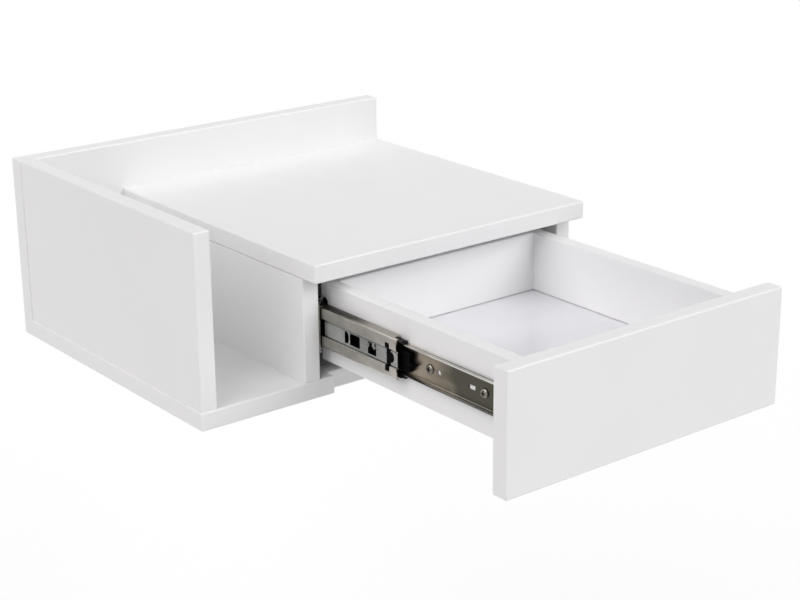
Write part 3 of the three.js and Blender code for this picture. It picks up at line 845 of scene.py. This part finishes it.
# %% Fold the middle channel
front, band_face, set_back = middle_low.y, middle_low.x - wall_x, 1.7 * mm
band_x, web_x = band_face + steel / 2, band_face + set_back + steel / 2
web_half, step_width = 7.2 * mm, 0.7 * mm
middle_half = (middle_high.z - middle_low.z) / 2 - steel / 2
middle_reach = middle_high.x - wall_x
track_x, track_half, track_depth = (band_x + reach) / 2, 1.3 * mm, 0.5 * mm
middle_folds = [
    (web_x, web_half),
    (band_x, web_half + step_width),
    (band_x, middle_half),
    (track_x - track_half, middle_half),
    (track_x, middle_half - track_depth),
    (track_x + track_half, middle_half),
    (middle_reach, middle_half),
]
middle_radii = [0.5 * mm, 0.5 * mm, bend, 0.4 * mm, 0.5 * mm, 0.4 * mm]
middle_channel = folded(
    "middle_channel", middle_folds, middle_low.y, middle_high.y, middle_radii
)
print_faces(middle_channel)

# %% Punch the windows, cut the notches and creases
window_half, window_x = 5 * mm, (0, 8 * mm)
wide_start, wide_length = 49.2 * mm, 13.2 * mm
narrow_gap, narrow_length = 1.6 * mm, 5.6 * mm
small_start, small_length = 27.5 * mm, 10.8 * mm


def window(start, length):
    low = (window_x[0], front + start, -window_half)
    high = (window_x[1], front + start + length, window_half)
    tool = block("window", low, high)
    round_edges(tool, width=0.5 * mm, segments=3)
    return tool


def bowed_window(start, length):
    unit, hair = 1.0, 0.01 * mm
    tool = turned("bowed_window", [(unit, window_x[0]), (unit, window_x[1])], sides=40)
    middle, rear = front + start + length / 2, front + start + length
    size = Matrix.Diagonal((window_half, length / 2, 1, 1))
    tool = moved(tool, standing((0, middle, 0), right) @ size)
    pick(tool, "VERT", lambda corners: corners[0].y > middle + hair)
    bpy.ops.transform.resize(value=(1, 0, 1), center_override=(0, rear, 0))
    bpy.ops.object.mode_set(mode="OBJECT")
    return tool


combine(middle_channel, window(wide_start, wide_length))
combine(middle_channel, bowed_window(wide_start + wide_length + narrow_gap, narrow_length))
combine(middle_channel, window(small_start, small_length))
notch(
    middle_channel, x_from=5 * mm, x_to=middle_reach, height=middle_half, front_end=front,
    length=5.5 * mm
)
web_face, crease = web_x - steel / 2, 0.6 * mm
upper_crease = (web_half - 1.7 * mm, web_half - 0.6 * mm)
lower_crease = (-web_half, 0.8 * mm - web_half)
for edge_low, edge_high in (upper_crease, lower_crease):
    crease_low = (web_face - overshoot, front - overshoot, edge_low)
    crease_high = (web_face + crease, middle_high.y + overshoot, edge_high)
    combine(middle_channel, block("crease", crease_low, crease_high))
print_faces(middle_channel)

# %% [markdown]
# The clip is a black bar across the channel with a round boss on its front edge. The
# same shape, a little grown, cuts the window that it snaps into, so the two always fit.
# Its ends lie level with the bands, and its middle is set back as the web is.

# %% Clip, its window and the small tab
clip_edge, clip_width, clip_half = front + 8.8 * mm, 4.9 * mm, 11.7 * mm
clip_boss, clip_recess, clip_fit = 4.3 * mm, 1.3 * mm, 0.3 * mm
clip_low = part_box("left_stop_clip")[0].x - wall_x
clip_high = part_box("left_stop_clip")[1].x - wall_x


def clip_shape(name, x_low, x_high, grown):
    rear, half = clip_edge + clip_width + grown, clip_half + grown
    clip = block(name, (x_low, clip_edge - grown, -half), (x_high, rear, half))
    boss = turned("boss", [(clip_boss + grown, x_low), (clip_boss + grown, x_high)], sides=40)
    combine(clip, moved(boss, standing((0, clip_edge, 0), right)), "UNION")
    return clip


window_ends = (clip_low - 2 * overshoot, clip_high + 2 * overshoot)
combine(middle_channel, clip_shape("clip_window", *window_ends, clip_fit))
tab_y, tab_half, tab_drop = front + small_start + small_length * 0.42, 1.2 * mm, 3.6 * mm
tab_low = (web_x - steel / 2, tab_y - tab_half, window_half - tab_drop)
tab_high = (web_x + steel / 2, tab_y + tab_half, window_half + steel / 2)
tab = block("tab", tab_low, tab_high)
round_edges(tab, width=0.4 * mm, segments=3)
combine(middle_channel, tab, "UNION")
round_edges(middle_channel, width=0.12 * mm, segments=2, sharper_than=60)
shade(middle_channel)
print_faces(middle_channel)

# %% Give web and tracks their own finish, and make the clip
def share_out(piece, finishes, chosen):
    for material in finishes:
        piece.data.materials.append(material)
    for face in piece.data.polygons:
        face.material_index = chosen(face.center)


# Flange tops take the track finish with its painted shade; the web takes its painted reflection.
def channel_tone(centre):
    if abs(centre.z) > middle_half:
        return 2 if centre.x > band_x + bend / 2 else 0
    return 1 if abs(centre.z) < web_half + step_width / 2 and centre.x > band_x else 0


share_out(middle_channel, (band_steel, web_steel, track_steel), channel_tone)
clip_piece = clip_shape("clip_master", clip_low, clip_high, 0)
recess_low = (clip_low - clip_recess, clip_edge - 3 * clip_boss, -web_half)
recess_high = (clip_low + clip_recess, clip_edge + 2 * clip_width, web_half)
combine(clip_piece, block("recess", recess_low, recess_high))
round_edges(clip_piece, width=0.5 * mm, segments=3)
shade(clip_piece)
both_slides(clip_piece, "clip", "_middle", "black_plastic", black_plastic)
both_slides(middle_channel, "middle_channel", "_middle", "zinc_steel")

# %% [markdown]
# ### The runner on the drawer
# The narrow member is screwed to the drawer side. Two holes show the white board behind
# it, one round and one oblong. A short pin stands on it and carries the black lever that
# lets the drawer off its slide. Its folds and flanges are painted brighter, a painted
# highlight, and the lip of its lower flange is painted dark, a painted shadow.

# %% Fold the runner
runner_half = (runner_high.z - runner_low.z) / 2 - steel / 2
runner_x = slide_width - steel / 2
runner_tip = slide_width - 5.2 * mm
race_x, race_depth, race_bend = runner_tip + 1.6 * mm, 0.6 * mm, 0.8 * mm
runner_folds = [
    (runner_x, runner_half), (race_x, runner_half - race_depth), (runner_tip, runner_half)
]
drawer_runner = folded(
    "drawer_runner", runner_folds, runner_low.y, runner_high.y, [bend, race_bend]
)
print_faces(drawer_runner)

# %% Punch the runner's holes
round_hole_place, round_hole_radius = 90.9 * mm, 2.2 * mm
oblong_place, oblong_length, oblong_half = 47.7 * mm, 7.6 * mm, 2 * mm
through = (runner_x - 3 * overshoot, slide_width + 3 * overshoot)
round_hole = turned("round_hole", [(round_hole_radius, x) for x in through])
hole_place = standing((0, runner_front + round_hole_place, 0), right)
combine(drawer_runner, moved(round_hole, hole_place))
oblong_low = (through[0], runner_front + oblong_place, -oblong_half)
oblong_high = (through[1], runner_front + oblong_place + oblong_length, oblong_half)
oblong = block("oblong_hole", oblong_low, oblong_high)
round_edges(oblong, width=0.5 * mm, segments=3)
combine(drawer_runner, oblong)
print_faces(drawer_runner)

# %% Set the lever's pin on the runner
lever_low, lever_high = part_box("left_release_lever")
lever_x = (lever_low.x - wall_x, lever_high.x - wall_x)
eye_radius, pin_radius, pin_fit, chamfer = 4 * mm, 2 * mm, 0.15 * mm, 0.3 * mm
pin_y = lever_high.y - eye_radius
pin_profile = [(pin_radius - chamfer, lever_x[0]), (pin_radius, lever_x[0] + chamfer)]
pin = turned("pin", [*pin_profile, (pin_radius, runner_x)])
combine(drawer_runner, moved(pin, standing((0, pin_y, 0), right)), "UNION")
round_edges(drawer_runner, width=0.2 * mm, segments=3, sharper_than=60)
shade(drawer_runner)
print_faces(drawer_runner)

# %% Tone the runner, with a painted highlight on its folds and a painted shadow on one lip
painted_shadow_lip = runner_tip + 0.3 * mm
fold_begins = runner_x - steel / 2 - 0.2 * mm


# Folds and flanges get the painted highlight, the lower lip the painted shadow.
def runner_tone(centre):
    if centre.z < 0 and centre.x < painted_shadow_lip:
        return 2
    in_fold = abs(centre.z) < runner_half and centre.x < fold_begins
    return 1 if in_fold or centre.x < runner_x - bend else 0


share_out(drawer_runner, (runner_steel, fold_highlight_steel, lip_shadow_steel), runner_tone)
both_slides(drawer_runner, "drawer_runner", "drawer", "zinc_steel")

# %% [markdown]
# ### The lever
# It is moulded in black plastic: a blunt block with a small beak in front, on an arm
# that turns on the pin. It is drawn out from the pin towards its beak, station by
# station, and a shallow pocket is pressed into its face, as mouldings have.

# %% Helper: draw a bar out through stations
def drawn_through(name, x_low, x_high, stations):
    deselect()
    y, low, high = stations[0]
    middle = ((x_low + x_high) / 2, y, (low + high) / 2)
    bpy.ops.mesh.primitive_plane_add(size=1, location=middle, rotation=(math.pi / 2, 0, 0))
    piece = bpy.context.object
    piece.name = name
    piece.scale = (x_high - x_low, high - low, 1)
    bpy.ops.object.transform_apply(location=True, rotation=True, scale=True)
    bpy.ops.object.mode_set(mode="EDIT")
    bpy.ops.mesh.select_all(action="SELECT")
    for next_y, next_low, next_high in stations[1:]:
        rise = (next_low + next_high - low - high) / 2
        bpy.ops.mesh.extrude_region_move(TRANSFORM_OT_translate={"value": (0, next_y - y, rise)})
        centre = (middle[0], next_y, (next_low + next_high) / 2)
        growth = (next_high - next_low) / (high - low)
        bpy.ops.transform.resize(value=(1, 1, growth), center_override=centre)
        y, low, high = next_y, next_low, next_high
    bpy.ops.mesh.select_all(action="SELECT")
    bpy.ops.mesh.normals_make_consistent(inside=False)
    bpy.ops.object.mode_set(mode="OBJECT")
    return piece


# %% Draw the lever, bore it and press its pocket
beak, block_front = lever_low.y, lever_low.y + 5 * mm
block_rear, slope, toe, shoulder = block_front + 26 * mm, 7 * mm, 1.6 * mm, 0.1 * mm
top = 8.5 * mm
beak_root, beak_tip = (-3.2 * mm, 0.3 * mm), (-1.9 * mm, -1.0 * mm)
lever = drawn_through("lever_master", *lever_x, [
    (pin_y, -eye_radius, eye_radius),
    (block_rear + slope, -eye_radius, eye_radius),
    (block_rear, -top, top),
    (block_front + toe, -top, top),
    (block_front, toe - top, top),
    (block_front - shoulder, *beak_root),
    (beak, *beak_tip),
])
eye = turned("eye", [(eye_radius, lever_x[0]), (eye_radius, lever_x[1])])
combine(lever, moved(eye, standing((0, pin_y, 0), right)), "UNION")
bore, bore_ends = pin_radius + pin_fit, (lever_x[0] - overshoot, lever_x[1] + overshoot)
hole = turned("hole", [(bore, x) for x in bore_ends])
combine(lever, moved(hole, standing((0, pin_y, 0), right)))
pocket_depth, pocket_rim, pocket_half = 0.8 * mm, 3 * mm, 5.5 * mm
pocket_low = (lever_x[0] - overshoot, block_front + pocket_rim, -pocket_half)
pocket_high = (lever_x[0] + pocket_depth, block_rear - pocket_rim, pocket_half)
pocket = block("pocket", pocket_low, pocket_high)
round_edges(pocket, width=1.5 * mm, segments=3)
combine(lever, pocket)
round_edges(lever, width=0.6 * mm, segments=3, sharper_than=25)
shade(lever)
both_slides(lever, "lever", "_lever", "black_plastic", black_plastic)

# %% [markdown]
# ### Balls and cages
# Between the members run rows of steel balls. A cage keeps them apart: two long rails,
# one above and one below, joined by a thin bar at the rear. Its front ends are the dark
# tips that peep out of the middle channel. The balls are turned like any round piece,
# from a disc the size of a pinhead up to the equator and back.

# %% Helpers: a ball and a cage
def ball(radius, place):
    rings = 8
    angles = [math.pi * (step + 0.5) / rings - math.pi / 2 for step in range(rings)]
    profile = [(radius * math.cos(angle), radius * math.sin(angle)) for angle in angles]
    return moved(turned("ball", profile, sides=16), Matrix.Translation(place))


def cage(name, node, radius, ball_x, rail_z):
    low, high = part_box(node)
    inner, outer = low.x - wall_x, high.x - wall_x
    half, sheet, slip = 0.45 * mm, 0.4 * mm, 0.04 * mm
    bar, bumper, in_row = 5 * mm, 4 * mm, 5
    bumper_half, bumper_rise = 1.2 * radius, 0.95 * radius
    margin, top = bar + 2 * radius, rail_z + half
    piece = block(name, (inner, high.y - bar, -top), (inner + sheet, high.y, top))
    for side in (1, -1):
        middle = side * rail_z
        rail_low = (inner + slip, low.y + bumper / 2, middle - half + slip)
        rail_high = (outer, high.y - slip, middle + half - slip)
        combine(piece, block("rail", rail_low, rail_high), "UNION")
        bumper_low = (ball_x - bumper_half, low.y, middle - bumper_rise)
        bumper_high = (ball_x + bumper_half, low.y + bumper, middle + bumper_rise)
        combine(piece, block("bumper", bumper_low, bumper_high), "UNION")
    round_edges(piece, width=0.15 * mm, segments=2)
    balls = []
    for i in range(in_row):
        y = low.y + margin + (high.y - low.y - 2 * margin) * i / (in_row - 1)
        balls += [ball(radius, (ball_x, y, side * rail_z)) for side in (1, -1)]
    join(piece, balls)
    shade(piece)
    return piece


# %% Make both cages
ball_play, large_ball, small_ball = 0.3 * mm, 1.6 * mm, 1.1 * mm
outer_z = (middle_high.z - middle_low.z) / 2 + ball_play + large_ball
inner_z = (runner_high.z - runner_low.z) / 2 + ball_play + small_ball
outer_ball_x = (middle_low.x - wall_x + reach) / 2
inner_ball_x = (runner_tip + slide_width - steel) / 2
outer_cage = cage("outer_master", "left_outer_ball_cage", large_ball, outer_ball_x, outer_z)
inner_cage = cage("inner_master", "left_inner_ball_cage", small_ball, inner_ball_x, inner_z)
both_slides(outer_cage, "outer_cage", "_outer_cage", "black_steel", dark_steel)
both_slides(inner_cage, "inner_cage", "_inner_cage", "black_steel", dark_steel)

# %% [markdown]
# ## Floor and light
# The light is that of a white tent: a dim even world, and two wide, soft suns. The
# first stands before the cabinet, a little to the right. The other is wider and higher,
# and lights the left side. A sun has the same strength everywhere, so what falls on a
# level surface is a plain sum. It is kept a little below one, so a colour renders about
# as it is written and no white clips. The cabinet hangs free, so the floor lies well
# below it, and only a faint shadow tells that it is there. For the camera, and in
# reflections, the floor adds just enough white of its own to reach plain white where
# nothing shades it. Other rays see a pale diffuse floor, which lights the undersides.

# %% Set the levels of light
tent_strength = 0.14
suns = {
    "front_sun": (-26, 31, 44, 0.53, (1, 1, 1)),
    "left_sun": (85, 46, 60, 0.60, (1, 0.98, 0.987)),
}
level_light = tent_strength
for _, height, _, power, _ in suns.values():
    level_light += power * math.sin(math.radians(height))
print("light on a level surface:", round(level_light, 2))

# %% Helper: a ray that comes from the camera or from a mirror
def seen_directly(tree):
    light_path = tree.nodes.new("ShaderNodeLightPath")
    either = light_path.outputs["Is Camera Ray"]
    for kind in ("Is Glossy Ray", "Is Transmission Ray"):
        larger = tree.nodes.new("ShaderNodeMath")
        larger.operation = "MAXIMUM"
        tree.links.new(either, larger.inputs[0])
        tree.links.new(light_path.outputs[kind], larger.inputs[1])
        either = larger.outputs["Value"]
    return either


# %% Lay the floor
floor_drop, floor_size = 0.42, 30
floor_place = (0, 0, plain_box[0].z - floor_drop)
deselect()
bpy.ops.mesh.primitive_plane_add(size=floor_size, location=floor_place)
floor = bpy.context.object
floor.name = "studio_floor"
print("floor at z = %.3f m" % floor_place[2])

# %% Paint the floor
shadow_share, pale_floor = 0.15, 0.75
floor_paint = bpy.data.materials.new("studio_white")
floor_paint.use_nodes = True
tree = floor_paint.node_tree
tree.nodes.clear()
output = tree.nodes.new("ShaderNodeOutputMaterial")
seen = tree.nodes.new("ShaderNodeAddShader")
chosen = tree.nodes.new("ShaderNodeMixShader")
faint, pale = tree.nodes.new("ShaderNodeBsdfDiffuse"), tree.nodes.new("ShaderNodeBsdfDiffuse")
own_white = tree.nodes.new("ShaderNodeEmission")
faint.inputs["Color"].default_value = (shadow_share,) * 3 + (1,)
pale.inputs["Color"].default_value = (pale_floor,) * 3 + (1,)
own_white.inputs["Strength"].default_value = 1 - shadow_share * level_light
tree.links.new(seen_directly(tree), chosen.inputs["Fac"])
tree.links.new(pale.outputs["BSDF"], chosen.inputs[1])
tree.links.new(faint.outputs["BSDF"], seen.inputs[0])
tree.links.new(own_white.outputs["Emission"], seen.inputs[1])
tree.links.new(seen.outputs["Shader"], chosen.inputs[2])
tree.links.new(chosen.outputs["Shader"], output.inputs["Surface"])
floor.data.materials.append(floor_paint)
print("the floor shines with", round(own_white.inputs["Strength"].default_value, 3))

# %% Light the cabinet
world = bpy.data.worlds.new("white_tent")
bpy.context.scene.world = world
world.use_nodes = True
tent = world.node_tree
sky = tent.nodes["Background"]
sky.inputs["Color"].default_value = (1, 1, 1, 1)
strength = tent.nodes.new("ShaderNodeMapRange")
strength.inputs["To Min"].default_value = tent_strength
strength.inputs["To Max"].default_value = 1.0
tent.links.new(seen_directly(tent), strength.inputs["Value"])
tent.links.new(strength.outputs["Result"], sky.inputs["Strength"])


def soft_sun(name, turn, height, width, power, colour):
    deselect()
    bpy.ops.object.light_add(type="SUN")
    sun = bpy.context.object
    sun.name = name
    sun.data.angle = math.radians(width)
    sun.data.energy = math.pi * power
    sun.data.color = colour
    sun.rotation_euler = (math.radians(90 - height), 0, math.radians(-turn))


for name, setting in suns.items():
    soft_sun(name, *setting)
bpy.context.scene.view_settings.view_transform = "Standard"
print("suns:", *suns)
